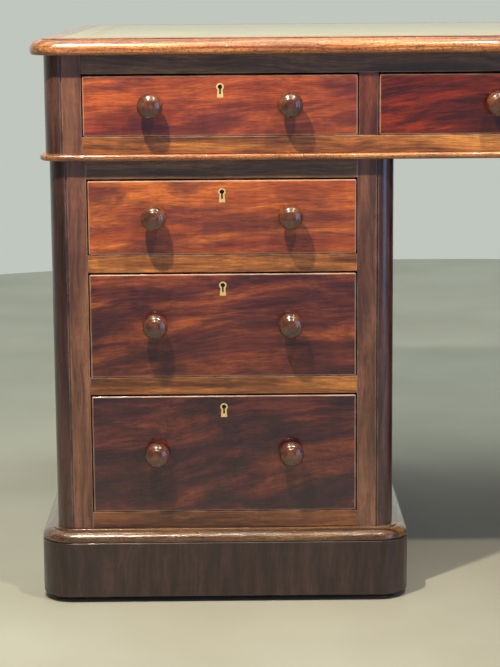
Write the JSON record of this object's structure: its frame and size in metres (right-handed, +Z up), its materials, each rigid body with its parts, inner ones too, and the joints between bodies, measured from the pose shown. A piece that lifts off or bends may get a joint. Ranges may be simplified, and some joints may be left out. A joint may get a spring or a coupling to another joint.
{
  "type": "pedestal writing desk",
  "caption": "Two-pedestal kneehole writing desk with rows of sliding drawers, turned wooden knobs, quarter-round corner columns, moulded plinths and a leather-inset top.",
  "frame": {"origin": "on the floor under the centre of the desk's bounding box", "axes": "+X to the right along the drawer fronts, +Y from the front to the back, +Z up; the drawers open towards -Y"},
  "size_m": [1.58, 0.893, 0.775],
  "materials": {
    "mahogany": "French-polished mahogany, glossy, brown with straight grain",
    "figured_mahogany": "French-polished flame-figured mahogany, glossy red-brown with dark streaks",
    "turned_knob": "turned and polished mahogany, glossy dark brown",
    "oak_lining": "planed and waxed oak, matt",
    "leather": "olive skiver faded to straw, with a tooled border, satin",
    "brass": "polished and lightly tarnished brass"
  },
  "bodies": {
    "case": {"frieze_base_board": "mahogany", "frieze_front_frame": "mahogany", "frieze_back_frame": "mahogany", "frieze_left_side": "mahogany", "frieze_right_side": "mahogany", "frieze_left_divider": "oak_lining", "frieze_right_divider": "oak_lining", "top_board": "mahogany", "writing_leather": "leather", "left_pedestal_plinth": "mahogany", "left_pedestal_base_board": "mahogany", "left_pedestal_front_frame": "mahogany", "left_pedestal_back_frame": "mahogany", "left_pedestal_outer_side": "mahogany", "left_pedestal_inner_side": "mahogany", "left_pedestal_lid": "oak_lining", "right_pedestal_plinth": "mahogany", "right_pedestal_base_board": "mahogany", "right_pedestal_front_frame": "mahogany", "right_pedestal_back_frame": "mahogany", "right_pedestal_outer_side": "mahogany", "right_pedestal_inner_side": "mahogany", "right_pedestal_lid": "oak_lining"},
    "centre_frieze_drawer": {"centre_frieze_drawer_front": "figured_mahogany", "centre_frieze_drawer_box": "oak_lining", "centre_frieze_drawer_knob_left": "turned_knob", "centre_frieze_drawer_knob_right": "turned_knob"},
    "left_frieze_drawer": {"left_frieze_drawer_front": "figured_mahogany", "left_frieze_drawer_box": "oak_lining", "left_frieze_drawer_knob_left": "turned_knob", "left_frieze_drawer_knob_right": "turned_knob"},
    "right_frieze_drawer": {"right_frieze_drawer_front": "figured_mahogany", "right_frieze_drawer_box": "oak_lining", "right_frieze_drawer_knob_left": "turned_knob", "right_frieze_drawer_knob_right": "turned_knob"},
    "left_pedestal_lower_drawer": {"left_pedestal_lower_drawer_front": "figured_mahogany", "left_pedestal_lower_drawer_box": "oak_lining", "left_pedestal_lower_drawer_knob_left": "turned_knob", "left_pedestal_lower_drawer_knob_right": "turned_knob"},
    "left_pedestal_middle_drawer": {"left_pedestal_middle_drawer_front": "figured_mahogany", "left_pedestal_middle_drawer_box": "oak_lining", "left_pedestal_middle_drawer_knob_left": "turned_knob", "left_pedestal_middle_drawer_knob_right": "turned_knob"},
    "left_pedestal_upper_drawer": {"left_pedestal_upper_drawer_front": "figured_mahogany", "left_pedestal_upper_drawer_box": "oak_lining", "left_pedestal_upper_drawer_knob_left": "turned_knob", "left_pedestal_upper_drawer_knob_right": "turned_knob"},
    "right_pedestal_lower_drawer": {"right_pedestal_lower_drawer_front": "figured_mahogany", "right_pedestal_lower_drawer_box": "oak_lining", "right_pedestal_lower_drawer_knob_left": "turned_knob", "right_pedestal_lower_drawer_knob_right": "turned_knob"},
    "right_pedestal_middle_drawer": {"right_pedestal_middle_drawer_front": "figured_mahogany", "right_pedestal_middle_drawer_box": "oak_lining", "right_pedestal_middle_drawer_knob_left": "turned_knob", "right_pedestal_middle_drawer_knob_right": "turned_knob"},
    "right_pedestal_upper_drawer": {"right_pedestal_upper_drawer_front": "figured_mahogany", "right_pedestal_upper_drawer_box": "oak_lining", "right_pedestal_upper_drawer_knob_left": "turned_knob", "right_pedestal_upper_drawer_knob_right": "turned_knob"}
  },
  "joints": [
    {"name": "centre_frieze_drawer_slide", "type": "slide", "parent": "case", "child": "centre_frieze_drawer", "axis": [0, -1, 0], "range_m": [0, 0.45]},
    {"name": "left_frieze_drawer_slide", "type": "slide", "parent": "case", "child": "left_frieze_drawer", "axis": [0, -1, 0], "range_m": [0, 0.45]},
    {"name": "right_frieze_drawer_slide", "type": "slide", "parent": "case", "child": "right_frieze_drawer", "axis": [0, -1, 0], "range_m": [0, 0.45]},
    {"name": "left_pedestal_lower_drawer_slide", "type": "slide", "parent": "case", "child": "left_pedestal_lower_drawer", "axis": [0, -1, 0], "range_m": [0, 0.45]},
    {"name": "left_pedestal_middle_drawer_slide", "type": "slide", "parent": "case", "child": "left_pedestal_middle_drawer", "axis": [0, -1, 0], "range_m": [0, 0.45]},
    {"name": "left_pedestal_upper_drawer_slide", "type": "slide", "parent": "case", "child": "left_pedestal_upper_drawer", "axis": [0, -1, 0], "range_m": [0, 0.45]},
    {"name": "right_pedestal_lower_drawer_slide", "type": "slide", "parent": "case", "child": "right_pedestal_lower_drawer", "axis": [0, -1, 0], "range_m": [0, 0.45]},
    {"name": "right_pedestal_middle_drawer_slide", "type": "slide", "parent": "case", "child": "right_pedestal_middle_drawer", "axis": [0, -1, 0], "range_m": [0, 0.45]},
    {"name": "right_pedestal_upper_drawer_slide", "type": "slide", "parent": "case", "child": "right_pedestal_upper_drawer", "axis": [0, -1, 0], "range_m": [0, 0.45]}
  ]
}
